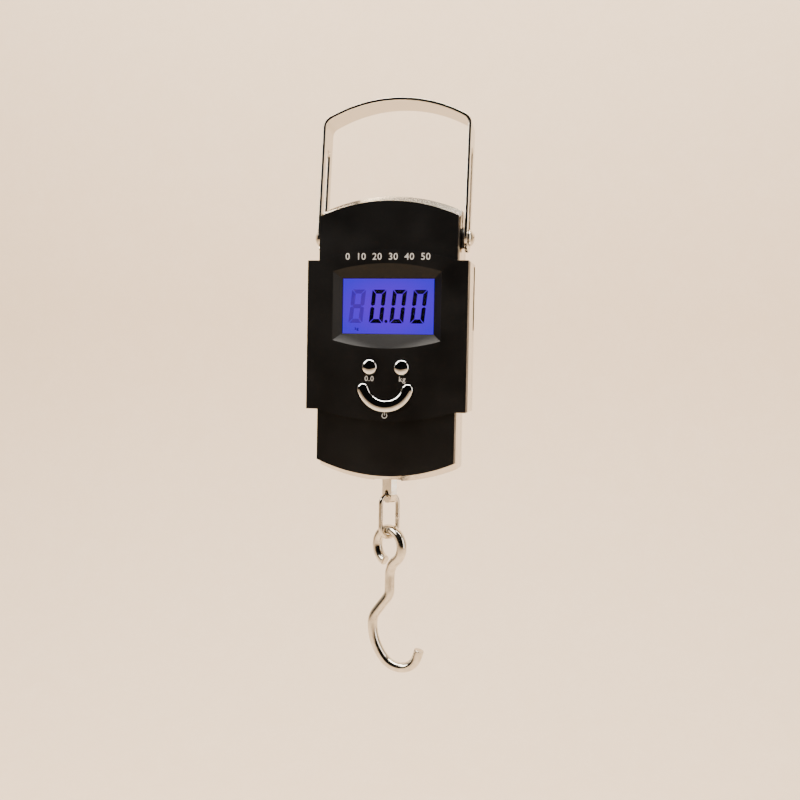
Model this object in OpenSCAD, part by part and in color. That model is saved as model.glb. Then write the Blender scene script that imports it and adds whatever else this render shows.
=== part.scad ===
// Hand-held digital hanging scale for fish and luggage.
//
// A casing in two shells hangs from a slotted steel bail. Inside it a cross
// bracket carries the load cell, and a rod runs down from the cell between the
// two cells of the battery to an eye, a link and a wire hook.
// Sizes are worked out about the centre of the casing's band: X to the right,
// Y to the back, Z up. placed() then moves all of it, so that the origin lies
// under the middle of the bail's arch, where a hand or a peg holds the scale.

/* [Casing] */
// Width of the casing above and below the band
case_w = 57; // [50:0.5:72]
// Height of the top corners above the band's centre
case_top = 48.2; // [44:0.2:60]
// Depth of the bottom corners below the band's centre
case_bottom = 51; // [48:0.2:64]
// Rise of the curved top and bottom edges over their corners
case_rise = 6.1; // [2:0.1:9]
// Depth of the casing from the band's face to the back
case_depth = 24; // [24:0.2:32]
// Depth of the black front cover behind the band's face
cover_depth = 6; // [5:0.2:7]
// How far the plated rear shell stands out at its top and bottom
shell_proud = 2.8; // [1:0.1:4]
// How far the plated rear shell stands out at its sides
shell_side = 0.4; // [0:0.1:0.8]
// Thickness of the moulded walls
wall = 1.6; // [1.2:0.1:2.2]

/* [Band] */
// Height of the band at its ears
band_h = 60.6; // [54:0.2:76]
// Rise of the band's curved edges over its ears
band_rise = 4.3; // [1:0.1:6]
// How far the band's face stands proud of the casing
band_step = 1; // [0.5:0.1:1.6]
// Thickness of an ear's outer wall
ear_wall = 1.4; // [1:0.1:2]
// Depth of the opening in an ear's side
ear_slot_depth = 3.6; // [2:0.2:5]

/* [Bail] */
// Thickness of the bail's steel strip
strip_t = 1.3; // [1:0.1:1.7]
// Width of the bail's strip
strip_w = 12; // [9:0.2:15]
// Height of the arch's top above the pivot
bail_h = 58.2; // [50:0.5:70]
// Outer radius of the arch
arch_r = 58; // [48:1:80]
// Outer radius of the bail's two corners
corner_r = 5; // [3:0.5:8]
// Space between the casing's side and an arm
arm_gap = 1.45; // [1.2:0.05:2.4]
// Space between an arm and the ear's outer wall
ear_gap = 0.35; // [0.3:0.05:0.8]
// Height of the slot's upper end above the pivot
slot_top = 38; // [24:0.5:39]
// Lean of the bail to the back as the scale hangs
bail_lean = 8; // [0:1:8]

/* [Pivots] */
// Drop from the top corners to the pivots
pivot_drop = 7.7; // [6.5:0.1:10]
// Distance of the pivots and the hook behind the band's face
hang_depth = 13; // [12.4:0.1:14]
// Radius of the bush that runs in the slot
bush_r = 2.7; // [2.2:0.1:3.2]
// Radius of the pivot screw's shank
pivot_r = 1.5; // [1.2:0.1:1.8]
// Radius of the pivot screw's head
pivot_head_r = 3.4; // [2.8:0.1:4.2]

/* [Display] */
// Width of the window
window_w = 37.9; // [30:0.1:42]
// Height of the window
window_h = 22.3; // [16:0.1:24]
// Height of the window's middle above the band's centre
window_z = 12; // [10:0.1:14]
// Width of the sloped rim on each side of the window
rim_side = 3.4; // [2:0.1:5]
// Width of the sloped rim above and below the window at its ends
rim_end = 2.8; // [1.5:0.1:3.4]
// Extra rise of the sloped rim at its middle
rim_rise = 3.2; // [0:0.1:3.6]
// Depth of the sloped rim
rim_depth = 2.8; // [1.5:0.1:3]

/* [Buttons] */
// Radius of the two round buttons
button_r = 3.1; // [2.4:0.1:3.8]
// Distance of each round button from the middle
button_x = 6.6; // [5.5:0.1:9]
// Depth of the round buttons below the band's centre
button_drop = 12.7; // [12:0.1:14]
// Depth of the curved button's centre below the band's centre
smile_drop = 19; // [18.8:0.1:21]
// Middle radius of the curved button
smile_r = 9.6; // [8:0.1:9.8]
// Width of the curved button
smile_w = 4.8; // [3.6:0.1:5.2]
// Angle that the curved button spans
smile_span = 148; // [120:2:160]
// Space round a button in the cover
button_gap = 0.35; // [0.3:0.05:0.5]
// How far the buttons stand out of the band's face
button_proud = 0.9; // [0.6:0.1:1.4]

/* [Battery] */
// Diameter of one cell
cell_d = 10.5; // [10:0.1:10.5]
// Length of one cell with its button end
cell_len = 44.5; // [40:0.5:45]
// Distance between the two cells' axes
cell_pitch = 16.8; // [15.6:0.1:19]
// Width of the door in the back
door_w = 31; // [29:0.2:36]
// Height of the door's top edge under the band's centre
door_drop = 2; // [1:0.5:4]

/* [Load path] */
// Diameter of the rod that runs down to the eye
rod_d = 3.6; // [3:0.1:4]
// Width of the flat eye
eye_w = 8; // [7:0.1:9]
// Thickness of the flat eye
eye_t = 2.7; // [2:0.1:3]
// Radius of the hole in the eye
eye_hole_r = 1.6; // [1.5:0.05:2]
// Drop from the casing's lowest edge to the hole in the eye
eye_drop = 8.5; // [8:0.1:12]
// Turn of the eye and the link about the vertical
link_turn = 40; // [30:1:55]
// Length of the link outside
link_len = 20.1; // [18:0.1:26]
// Width of the link outside
link_w = 9.8; // [9.6:0.1:12]
// Diameter of the link's wire
link_d = 1.9; // [1.6:0.05:2]
// Diameter of the hook's wire
hook_d = 4.2; // [3.2:0.1:4.2]
// Middle radius of the hook's loop
loop_r = 7; // [6:0.1:8]
// Turn of the hook's loop about the vertical
loop_turn = -32; // [-45:1:-20]
// Turn of the hook's bow about the vertical
bow_turn = -8; // [-20:1:10]

/* [Hidden] */
$fn = 96;

eps = 0.01;             // overlap of a cut past the face it opens
fit = 0.05;             // radial clearance of a pin in its hole
part_gap = 0.3;         // clearance between pieces that pass each other
end_step = 0.05;        // step that keeps a curve's end clear of the corner it runs into

// Casing, front to back
face_y = -case_depth / 2;
case_face_y = face_y + band_step;
split_y = face_y + cover_depth;
back_y = case_depth / 2;
hang_y = face_y + hang_depth;
low_z = -case_bottom - case_rise;
band_top = band_h / 2;

// Bail and pivots, from the casing's side outwards
pivot_z = case_top - pivot_drop;
arm_in = case_w / 2 + arm_gap;
arm_out = arm_in + strip_t;
ear_in = arm_out + ear_gap;
band_w = 2 * (ear_in + ear_wall);
slot_r = bush_r + fit;
inner_wall_x = case_w / 2 - wall;

// Display stack and board, from the front
rim_floor_y = face_y + rim_depth;
window_y = rim_floor_y + 1;
lens_t = 0.8;
panel_y = window_y + lens_t;
panel_t = 2;
light_y = panel_y + panel_t;
light_t = 2.1;
board_y = face_y + 9;
board_t = 1.6;
board_w = 41;
board_top = window_z + window_h / 2 + 3;
board_bottom = -smile_drop - smile_r - 4;
inner_face_y = face_y + wall;

// Battery
cell_x = cell_pitch / 2;
cell_y = back_y - wall - part_gap - cell_d / 2;
spring_h = 4.1;
cell_bottom = -case_bottom + 1.5;
cell_top = cell_bottom + cell_len;

// Load path
bracket_t = 4;
bracket_h = 10;
bracket_half = inner_wall_x - part_gap;
beam_w = 14;
beam_t = 6.5;
beam_len = 33;
beam_top = pivot_z + 4.5;
beam_y = hang_y + bracket_t / 2;
yoke_h = 10;
yoke_z = beam_top - beam_len;
eye_z = low_z - eye_drop;
link_top_z = eye_z - 0.2;
link_bottom_z = link_top_z - (link_len - link_d);
loop_z = link_bottom_z + link_d / 2 + 0.25 + hook_d / 2 - loop_r;

// Bends of the hook: the neck under the loop, the two of the shank, the bow's three
neck_r = 8;
neck_bend = acos((neck_r + 0.5) / (neck_r + loop_r));
neck_len = 1.5;
shank_z = loop_z - (neck_r + loop_r) * sin(neck_bend) - neck_len;
shank_path = [[4.6], [6, 36.8], [7.3], [9, -36.5], [21.8, -41.3], [9.6, -58.2], [7.4, -63.6], [3.2]];
loop_path = [[neck_len], [neck_r, neck_bend], [loop_r, -306]];

// Screws of the casing and the board, as [x, z]
screw_spots = [for (x = [-24, 24], z = [24, -45]) [x * case_w / 57, z]];
board_spots = [for (x = [-17.5, 17.5], z = [-9, -27]) [x, z]];

// Where the bail is held, which becomes the origin
grip_h = bail_h - strip_t;
grip = [0, hang_y + grip_h * sin(bail_lean), pivot_z + grip_h * cos(bail_lean)];

// ---------------------------------------------------------------- helpers

module placed() {
    translate(-grip) children();
}

// A flat outline in X and Z, made solid from y0 to y1
module slab(y0, y1) {
    translate([0, y1, 0]) rotate([90, 0, 0]) linear_extrude(y1 - y0) children();
}

// A block given by its lowest and highest corners
module block(low, high) {
    translate(low) cube(high - low);
}

// A round piece along Y from y0 to y1
module along_y(x, z, y0, y1, r) {
    translate([x, y1, z]) rotate([90, 0, 0]) cylinder(r = r, h = y1 - y0);
}

// A round piece along X from x0 to x1, on the pivots' axis
module on_pivot(x0, x1, r) {
    translate([x0, hang_y, pivot_z]) rotate([0, 90, 0]) cylinder(r = r, h = x1 - x0);
}

// Radius of the arc with the given half chord and rise
function arc_r(half, rise) = (half * half + rise * rise) / (2 * rise);

// An upright shape of the given half width between two shallow arcs; top and
// bottom are the heights of its corners
module barrel(half, top, bottom, rise) {
    r = arc_r(half, rise);
    intersection() {
        translate([-half, bottom - rise]) square([2 * half, top - bottom + 2 * rise]);
        translate([0, top + rise - r]) circle(r = r, $fn = 360);
        translate([0, bottom - rise + r]) circle(r = r, $fn = 360);
    }
}

// The casing's outline, grown sideways by side and up and down by tall
module case_outline(side = 0, tall = 0) {
    barrel(case_w / 2 + side, case_top + tall, -case_bottom - tall, case_rise);
}

// The band's outline: two straight-topped ears and a curved middle
module band_outline() {
    translate([-band_w / 2, -band_top]) square([band_w, band_h]);
    barrel(case_w / 2, band_top - end_step, end_step - band_top, band_rise);
}

// A round wire of diameter d that starts along +Z. A step of one number is a
// straight of that length; [r, a, roll] turns the plane by roll and bends by a.
module wire(d, path, step = 0) {
    if (step < len(path)) {
        s = path[step];
        if (len(s) == 1) {
            cylinder(d = d, h = s[0]);
            translate([0, 0, s[0]]) wire(d, path, step + 1);
        } else rotate([0, 0, s[2]]) {
            translate([s[0], 0, 0]) rotate([90, 0, 180])
                rotate_extrude(angle = s[1]) translate([s[0], 0]) circle(d = d, $fn = 48);
            translate([s[0] * (1 - cos(s[1])), 0, s[0] * sin(s[1])]) rotate([0, s[1], 0])
                wire(d, path, step + 1);
        }
    }
}

// ---------------------------------------------------------------- bail

// The strip's outline inside the given offset from its outer face
module bail_outline(inset) {
    r = arch_r - inset;
    c = corner_r - inset;
    half = arm_out - inset;
    corner_x = arm_out - corner_r;
    corner_z = bail_h - arch_r + sqrt(pow(arch_r - corner_r, 2) - pow(corner_x, 2));
    centre_z = bail_h - arch_r;
    lean = atan2(corner_x, corner_z - centre_z);
    difference() {
        union() {
            translate([-half, -strip_w]) square([2 * half, strip_w + corner_z]);
            for (s = [-1, 1]) translate([s * corner_x, corner_z]) circle(r = c);
            intersection() {
                translate([0, centre_z]) circle(r = r, $fn = 360);
                translate([0, centre_z]) polygon([
                    [0, 0], [2 * r * sin(lean), 2 * r * cos(lean)], [-2 * r * sin(lean), 2 * r * cos(lean)]
                ]);
            }
            translate([-corner_x, 0]) square([2 * corner_x, corner_z]);
        }
    }
}

// Two slotted arms with round feet, joined by the arch
module handle() {
    color("silver") placed() translate([0, hang_y, pivot_z]) rotate([-bail_lean, 0, 0]) difference() {
        intersection() {
            difference() {
                slab(-strip_w / 2, strip_w / 2) bail_outline(0);
                slab(-strip_w, strip_w) bail_outline(strip_t);
                translate([-arm_in, -strip_w, -2 * strip_w]) cube([2 * arm_in, 2 * strip_w, 2 * strip_w]);
            }
            union() {
                rotate([0, 90, 0]) cylinder(d = strip_w, h = 3 * arm_out, center = true);
                translate([-2 * arm_out, -strip_w, 0]) cube([4 * arm_out, 2 * strip_w, 2 * bail_h]);
            }
        }
        for (z = [0, slot_top - slot_r]) translate([0, 0, z])
            rotate([0, 90, 0]) cylinder(r = slot_r, h = 3 * arm_out, center = true);
        translate([-2 * arm_out, -slot_r, 0]) cube([4 * arm_out, 2 * slot_r, slot_top - slot_r]);
    }
}

// A spool in the slot, with its flange between the casing and the arm
module slide_bush(side) {
    flange_in = case_w / 2 + shell_side + 0.1;
    color("black") placed() mirror([side < 0 ? 1 : 0, 0, 0]) difference() {
        union() {
            on_pivot(flange_in, arm_in - 0.1, 4.4);
            on_pivot(arm_in - 0.1 - eps, arm_out + 0.15, bush_r);
        }
        on_pivot(flange_in - 1, arm_out + 1, pivot_r + fit);
    }
}

module left_slide_bush() {
    slide_bush(-1);
}

module right_slide_bush() {
    slide_bush(1);
}

// Half the section of a domed round of the given radius: straight up to the
// dome's foot, with the top of the dome at zero and the foot at -height
module dome_section(radius, dome, height) {
    r = arc_r(radius, dome);
    intersection() {
        translate([0, -height]) square([radius, height]);
        translate([0, -r]) circle(r = r);
    }
    translate([0, -height]) square([radius, height - dome]);
}

// Domed screw with a cross recess, from outside the arm into the bracket's end
module pivot_screw(side) {
    seat = arm_out + 0.3;
    head_h = 2;
    color("silver") placed() mirror([side < 0 ? 1 : 0, 0, 0]) {
        on_pivot(bracket_half - 6, seat + eps, pivot_r);
        translate([seat + head_h, hang_y, pivot_z]) rotate([0, 90, 0]) difference() {
            rotate_extrude() dome_section(pivot_head_r, head_h - 0.4, head_h);
            for (a = [0, 90]) rotate([0, 0, a]) cube([3.4, 0.6, 1.8], center = true);
        }
    }
}

module left_pivot_screw() {
    pivot_screw(-1);
}

module right_pivot_screw() {
    pivot_screw(1);
}

// ---------------------------------------------------------------- casing

// Space for an arm inside an ear, from y0 to y1
module ear_channels(y0, y1, inner) {
    for (s = [0, 1]) mirror([s, 0, 0])
        block([inner, y0, -band_top + wall], [ear_in, y1, band_top + 1]);
}

// The sloped rim round the window, as a solid to cut
module rim_cut() {
    half_w = window_w / 2;
    half_h = window_h / 2;
    hull() {
        slab(face_y - eps, face_y)
            barrel(half_w + rim_side, window_z + half_h + rim_end, window_z - half_h - rim_end, rim_rise);
        slab(rim_floor_y - eps, rim_floor_y)
            translate([-half_w, window_z - half_h]) square([window_w, window_h]);
    }
}

// The outline of the curved button, grown by g: an arc band with round ends,
// which are end_step smaller than the band so that their walls cross its ends
module smile_outline(g = 0) {
    edge = smile_w / 2 + g;
    from = 270 - smile_span / 2;
    translate([0, -smile_drop]) {
        intersection() {
            difference() {
                circle(r = smile_r + edge);
                circle(r = smile_r - edge);
            }
            polygon([
                [0, 0],
                for (i = [0:4]) 3 * smile_r * [cos(from + smile_span * i / 4), sin(from + smile_span * i / 4)]
            ]);
        }
        for (a = [from, from + smile_span]) rotate(a) translate([smile_r, 0]) circle(r = edge - end_step);
    }
}

module front_cover() {
    post_r = 2.1;
    boss_r = 2.4;
    tray = [window_w / 2 + rim_side + 1, window_h / 2 + rim_end + rim_rise + 1];
    boss_end = split_y + 5;
    color("#16171a") placed() difference() {
        union() {
            difference() {
                union() {
                    slab(case_face_y, split_y) case_outline();
                    slab(face_y, split_y) band_outline();
                }
                slab(case_face_y + wall, split_y + 1) case_outline(-wall, -wall);
                slab(inner_face_y, split_y + 1) barrel(inner_wall_x, band_top - wall, -band_top + wall, band_rise);
                ear_channels(face_y + ear_wall, split_y + 1, case_w / 2);
            }
            block([-tray[0], inner_face_y - eps, window_z - tray[1]], [tray[0], window_y, window_z + tray[1]]);
            for (p = board_spots) along_y(p[0], p[1], inner_face_y - eps, board_y, post_r);
            for (p = screw_spots) along_y(p[0], p[1], inner_face_y - eps, boss_end, boss_r);
        }
        rim_cut();
        slab(face_y, window_y + 1) translate([-window_w / 2, window_z - window_h / 2]) square([window_w, window_h]);
        for (x = [-button_x, button_x])
            along_y(x, -button_drop, face_y - 1, inner_face_y + 1, button_r + button_gap);
        slab(face_y - 1, inner_face_y + 1) smile_outline(button_gap);
        for (p = board_spots) along_y(p[0], p[1], inner_face_y + 1, board_y + 1, 0.8 + fit);
        for (p = screw_spots) along_y(p[0], p[1], case_face_y + 3, boss_end + 1, 1.2 + fit);
    }
}

// The rear shell's outer solid: a bevel out from the cover, straight sides and
// a softened back edge
module shell_solid() {
    bevel = 2.6;
    soft = 2.4;
    hull() {
        slab(split_y, split_y + eps) case_outline(0, 0.2);
        slab(split_y + bevel, back_y - soft) case_outline(shell_side, shell_proud);
        slab(back_y - eps, back_y) case_outline(-soft, shell_proud - soft);
    }
    hull() {
        slab(split_y, back_y - soft) translate([-band_w / 2, -band_top]) square([band_w, band_h]);
        slab(back_y - eps, back_y)
            translate([-band_w / 2 + soft, -band_top + soft]) square([band_w - 2 * soft, band_h - 2 * soft]);
    }
}

// The door's share of the shell's back: a plate with its edges g smaller
module door_space(g) {
    block([-door_w / 2 + g, back_y - wall + g, low_z - 2 * shell_proud], [door_w / 2 - g, back_y + 1, -door_drop - g]);
}

module rear_shell() {
    lip_y = split_y + 3;
    groove_y = hang_y + 4;
    inner_back = back_y - wall;
    side_x = case_w / 2 + shell_side;
    slot_y = groove_y + 0.5;
    boss_start = split_y + 5.2;
    rib_y = board_y + board_t + 0.2;
    color("#b9b6b0") placed() difference() {
        union() {
            difference() {
                shell_solid();
                slab(split_y - 1, lip_y + eps) case_outline(-wall, -wall);
                slab(lip_y, inner_back) case_outline(-wall, shell_proud - 2 * wall);
                ear_channels(split_y - 1, inner_back - 0.4, side_x);
            }
            for (p = screw_spots) along_y(p[0], p[1], boss_start, inner_back + eps, 3.3);
            for (s = [0, 1]) mirror([s, 0, 0])
                block([rod_d / 2 + 0.5, rib_y, cell_top + 0.6], [inner_wall_x + eps, inner_back, cell_top + 1.8]);
        }
        for (p = screw_spots) {
            along_y(p[0], p[1], boss_start - 1, back_y, 1.35);
            along_y(p[0], p[1], back_y - 3, back_y + 1, 2.5);
        }
        // Battery opening, with the door's ledge, and the way out for the eye
        door_space(0);
        translate([0, hang_y, low_z - 2 * shell_proud]) cylinder(r = eye_w / 2 + 0.9, h = 4 * shell_proud);
        block([-5.8, split_y - 1, low_z - 2 * shell_proud], [5.8, back_y - 3, low_z - shell_proud + 0.8]);
        // Pivot holes, the open slots in the ears and the parting groove
        on_pivot(-band_w, band_w, pivot_r + 0.2);
        for (s = [0, 1]) mirror([s, 0, 0])
            block([ear_in - 0.1, slot_y, 3], [band_w, slot_y + ear_slot_depth, band_top - 1]);
        difference() {
            slab(groove_y, groove_y + 0.4) translate([-band_w, low_z - 5]) square([2 * band_w, -2 * low_z + 10]);
            slab(groove_y - 1, groove_y + 1) {
                case_outline(shell_side - 0.4, shell_proud - 0.4);
                translate([-band_w / 2 + 0.4, -band_top + 0.4]) square([band_w - 0.8, band_h - 0.8]);
            }
        }
    }
}

// Sliding door: the back of the shell over the battery, with sunk finger grooves
module battery_door() {
    color("#a9a6a0") placed() difference() {
        intersection() {
            shell_solid();
            door_space(part_gap / 2);
        }
        for (i = [0:4]) block([-8, back_y - 0.6, -10 - 2 * i], [8, back_y + 1, -9.2 - 2 * i]);
    }
}

module case_screws() {
    head_y = back_y - 3;
    color("dimgray") placed() for (p = screw_spots) difference() {
        union() {
            along_y(p[0], p[1], split_y - 1, head_y, 1.2);
            along_y(p[0], p[1], head_y, head_y + 1.5, 2.3);
        }
        block([p[0] - 1.4, head_y + 0.8, p[1] - 0.25], [p[0] + 1.4, head_y + 3, p[1] + 0.25]);
        block([p[0] - 0.25, head_y + 0.8, p[1] - 1.4], [p[0] + 0.25, head_y + 3, p[1] + 1.4]);
    }
}

// ---------------------------------------------------------------- load path

cell_screw_drops = [2.6, 6.4, beam_len - 6.4, beam_len - 2.6];

// Steel bar between the pivots, with a tapped hole in each end
module cross_bracket() {
    color("slategray") placed() difference() {
        block([-bracket_half, hang_y - bracket_t / 2, pivot_z - bracket_h / 2],
              [bracket_half, hang_y + bracket_t / 2, pivot_z + bracket_h / 2]);
        for (s = [0, 1]) mirror([s, 0, 0]) on_pivot(bracket_half - 6.5, bracket_half + 1, pivot_r + fit);
        for (i = [0, 1]) along_y(0, beam_top - cell_screw_drops[i], hang_y - bracket_t, beam_y + 1, 1 + fit);
    }
}

// Aluminium beam with two linked bores, thin where the gauges sit
module load_cell() {
    color("gainsboro") placed() difference() {
        block([-beam_w / 2, beam_y, yoke_z], [beam_w / 2, beam_y + beam_t, beam_top]);
        for (z = [-4.5, 4.5])
            along_y(0, beam_top - beam_len / 2 + z, beam_y - 1, beam_y + beam_t + 1, 4.2);
        block([-2, beam_y - 1, beam_top - beam_len / 2 - 4.5], [2, beam_y + beam_t + 1, beam_top - beam_len / 2 + 4.5]);
        for (drop = cell_screw_drops)
            along_y(0, beam_top - drop, beam_y - 1, beam_y + beam_t + 1, 1 + fit);
    }
}

// Gauge patches with their soft coating, one on each side of the beam
module strain_gauges() {
    patch = 0.7;
    color("ivory") placed() for (s = [0, 1]) mirror([s, 0, 0])
        block([beam_w / 2, beam_y + 1, beam_top - beam_len / 2 - 6],
              [beam_w / 2 + patch, beam_y + beam_t - 1, beam_top - beam_len / 2 + 6]);
}

// Four cap screws that hold the beam to the bracket and to the yoke
module load_cell_screws() {
    color("dimgray") placed() for (drop = cell_screw_drops) {
        along_y(0, beam_top - drop, hang_y - bracket_t / 2 + 0.5, beam_y + beam_t, 1);
        along_y(0, beam_top - drop, beam_y + beam_t, beam_y + beam_t + 0.8, 1.7);
    }
}

// Block under the beam's free end that the rod screws into
module rod_yoke() {
    color("slategray") placed() difference() {
        block([-beam_w / 2 + 1, hang_y - bracket_t / 2, yoke_z],
              [beam_w / 2 - 1, hang_y + bracket_t / 2, yoke_z + yoke_h]);
        for (i = [2, 3]) along_y(0, beam_top - cell_screw_drops[i], hang_y - bracket_t, beam_y + 1, 1 + fit);
    }
}

// Rod with a forged flat eye at its lower end
module eye_rod() {
    flat_top = eye_z + 12;
    color("silver") placed() translate([0, hang_y, 0]) {
        translate([0, 0, flat_top - 1]) cylinder(d = rod_d, h = yoke_z - flat_top + 1);
        rotate([0, 0, link_turn]) difference() {
            union() {
                translate([-eye_t / 2, -eye_w / 2, eye_z]) cube([eye_t, eye_w, flat_top - eye_z]);
                translate([-eye_t / 2, 0, eye_z]) rotate([0, 90, 0]) cylinder(d = eye_w, h = eye_t);
            }
            translate([-eye_t, 0, eye_z]) rotate([0, 90, 0]) cylinder(r = eye_hole_r, h = 2 * eye_t);
        }
    }
}

// Long link of round wire with a butt weld in one leg
module link() {
    end_r = (link_w - link_d) / 2;
    leg = link_len - link_w;
    color("silver") placed() translate([0, hang_y, link_bottom_z + end_r]) rotate([0, 0, link_turn]) {
        for (s = [-1, 1]) translate([s * end_r, 0, 0]) cylinder(d = link_d, h = leg);
        for (s = [0, 1]) translate([0, 0, s * leg]) mirror([0, 0, 1 - s]) rotate([90, 0, 0])
            rotate_extrude(angle = 180) translate([end_r, 0]) circle(d = link_d, $fn = 48);
        translate([end_r, 0, leg * 0.45]) cylinder(d = link_d + 0.35, h = 0.9);
    }
}

// Points [x, z, heading] along a wire bent in one plane. A step of one number
// is a straight of that length; [r, a] bends by a, to +X from +Z if positive.
function bent(path, x, z, h, step = 0) =
    step == len(path) ? [[x, z, h]] : let (
        s = path[step],
        side = len(s) == 2 ? sign(s[1]) : 0,
        turn = len(s) == 2 ? s[1] : 0,
        n = max(1, ceil(abs(turn) / 9)),
        to = len(s) == 1 ? [for (k = [0:1]) [x + k * s[0] * sin(h), z + k * s[0] * cos(h), h]]
            : [for (k = [0:n]) let (g = h + turn * k / n)
                [x + side * s[0] * (cos(h) - cos(g)), z + side * s[0] * (sin(g) - sin(h)), g]]
    ) concat([for (k = [0:n - 1]) to[k]], bent(path, to[n][0], to[n][1], to[n][2], step + 1));

// One ring of a wire at point p of a plane turned about the vertical
function ring(p, turn, d, sides) = [for (k = [0:sides - 1]) let (
    a = 360 * k / sides - turn,
    out = d / 2 * cos(a),
    across = d / 2 * sin(a)
) [
    p[0] * cos(turn) + out * cos(p[2]) * cos(turn) - across * sin(turn),
    p[0] * sin(turn) + out * cos(p[2]) * sin(turn) + across * cos(turn),
    p[1] - out * sin(p[2])
]];

// A closed tube through rings of the same number of points
module tube(rings, sides) {
    last = len(rings) - 1;
    polyhedron([for (r = rings) each r], [
        [for (k = [0:sides - 1]) k],
        [for (k = [sides - 1:-1:0]) last * sides + k],
        for (i = [0:last - 1], k = [0:sides - 1])
            [i * sides + k, (i + 1) * sides + k, (i + 1) * sides + (k + 1) % sides, i * sides + (k + 1) % sides]
    ], convexity = 8);
}

// Hook of one bent wire: an open bow, a cranked shank and a loop on top. The
// bow's plane and the loop's are turned apart in the straight of the shank.
module hook(sides = 16) {
    shank = bent(shank_path, 0, shank_z, 180);
    loop = bent(loop_path, 0, shank_z, 0);
    last = len(shank) - 1;
    color("silver") placed() translate([cos(loop_turn), hang_y + sin(loop_turn), 0]) tube([
        for (i = [last:-1:0]) ring(shank[i] - [0, 0, 180], bow_turn, hook_d, sides),
        for (i = [1:len(loop) - 1]) ring(loop[i], loop_turn, hook_d, sides)
    ], sides);
}

// ---------------------------------------------------------------- display

module lcd_window() {
    margin = 1.8;
    color([0.8, 0.85, 0.9, 0.4]) placed() slab(window_y, panel_y)
        translate([-window_w / 2 - margin, window_z - window_h / 2 - margin])
            square([window_w + 2 * margin, window_h + 2 * margin]);
}

module lcd_panel() {
    margin = 1.6;
    ledge = 2.4;
    color("#3a20e0") placed() slab(panel_y, light_y)
        translate([-window_w / 2 - margin, window_z - window_h / 2 - margin - ledge])
            square([window_w + 2 * margin, window_h + 2 * margin + ledge]);
}

module lcd_backlight() {
    margin = 1.2;
    color("white") placed() slab(light_y, light_y + light_t)
        translate([-window_w / 2 - margin, window_z - window_h / 2 - margin])
            square([window_w + 2 * margin, window_h + 2 * margin]);
}

// Conductive rubber strip between the panel's lower ledge and the board
module zebra_strip() {
    top = window_z - window_h / 2 - 1.6;
    color("dimgray") placed() block([-window_w / 2 + 2, light_y, top - 2], [window_w / 2 - 2, board_y, top]);
}

module main_board() {
    color("darkgreen") placed() difference() {
        block([-board_w / 2, board_y, board_bottom], [board_w / 2, board_y + board_t, board_top]);
        for (p = board_spots) along_y(p[0], p[1], board_y - 1, board_y + board_t + 1, 1.1);
    }
}

module board_screws() {
    color("silver") placed() for (p = board_spots) {
        along_y(p[0], p[1], board_y - 4, board_y + board_t, 0.8);
        along_y(p[0], p[1], board_y + board_t, board_y + board_t + 0.8, 1.6);
    }
}

module controller_chip() {
    chip = 9;
    color("#202020") placed() block([-board_w / 2 + 3, board_y + board_t, 4],
                                    [-board_w / 2 + 3 + chip, board_y + board_t + 0.9, 4 + chip]);
}

// ---------------------------------------------------------------- buttons

button_face_y = face_y - button_proud;
flange_y = inner_face_y + 0.25;
flange_t = 0.9;
plunger_y = board_y - 4.2;
button_foot_y = plunger_y - 0.7;
switch_spots = [[-button_x, -button_drop], [button_x, -button_drop], [0, -smile_drop - smile_r]];

// Square body with a round plunger, one under each button
module tact_switches() {
    half = 2.9;
    color("#303030") placed() for (p = switch_spots) {
        block([p[0] - half, board_y - 3.4, p[1] - half], [p[0] + half, board_y, p[1] + half]);
        along_y(p[0], p[1], plunger_y, board_y - 3.4 + eps, 1.6);
    }
}

// Round domed button with a flange behind the cover and a stem
module round_button(x) {
    dome = 1.2;
    r = arc_r(button_r, dome);
    color("silver") placed() {
        intersection() {
            along_y(x, -button_drop, button_face_y, flange_y + eps, button_r);
            translate([x, button_face_y + r, -button_drop]) sphere(r = r);
        }
        along_y(x, -button_drop, button_face_y + dome, flange_y + eps, button_r);
        along_y(x, -button_drop, flange_y, flange_y + flange_t, button_r + 1);
        along_y(x, -button_drop, flange_y + flange_t - eps, button_foot_y, 1.8);
    }
}

module zero_button() {
    round_button(-button_x);
}

module unit_button() {
    round_button(button_x);
}

// Half of the curved button's section: upright sides under a shallow dome
module smile_section(step = 0) {
    dome_section(smile_w / 2 - step, 1.3 - step, flange_y + eps - button_face_y - step);
}

// Curved button: the section swept round an arc, with a domed round at each end
module power_button() {
    from = 270 - smile_span / 2;
    color("silver") placed() {
        translate([0, button_face_y, -smile_drop]) rotate([90, 0, 0]) {
            rotate([0, 0, from]) rotate_extrude(angle = smile_span) translate([smile_r, 0]) {
                smile_section();
                mirror([1, 0]) smile_section();
            }
            for (a = [from, from + smile_span]) rotate([0, 0, a]) translate([smile_r, 0, -end_step])
                rotate_extrude() smile_section(end_step);
        }
        slab(flange_y, flange_y + flange_t) smile_outline(0.8);
        along_y(0, -smile_drop - smile_r, flange_y + flange_t - eps, button_foot_y, 1.8);
    }
}

// ---------------------------------------------------------------- battery

// One cell: a can, a raised end and a button
module battery(side) {
    can = cell_len - 1.2;
    low = side < 0 ? cell_bottom : cell_bottom + 1.2;
    color("#444b55") placed() translate([side * cell_x, cell_y, 0]) {
        translate([0, 0, low]) cylinder(d = cell_d, h = can);
        translate([0, 0, side < 0 ? low + can - eps : cell_bottom]) cylinder(d = 3.8, h = 1.2 + eps);
    }
}

module left_battery() {
    battery(-1);
}

module right_battery() {
    battery(1);
}

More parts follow.
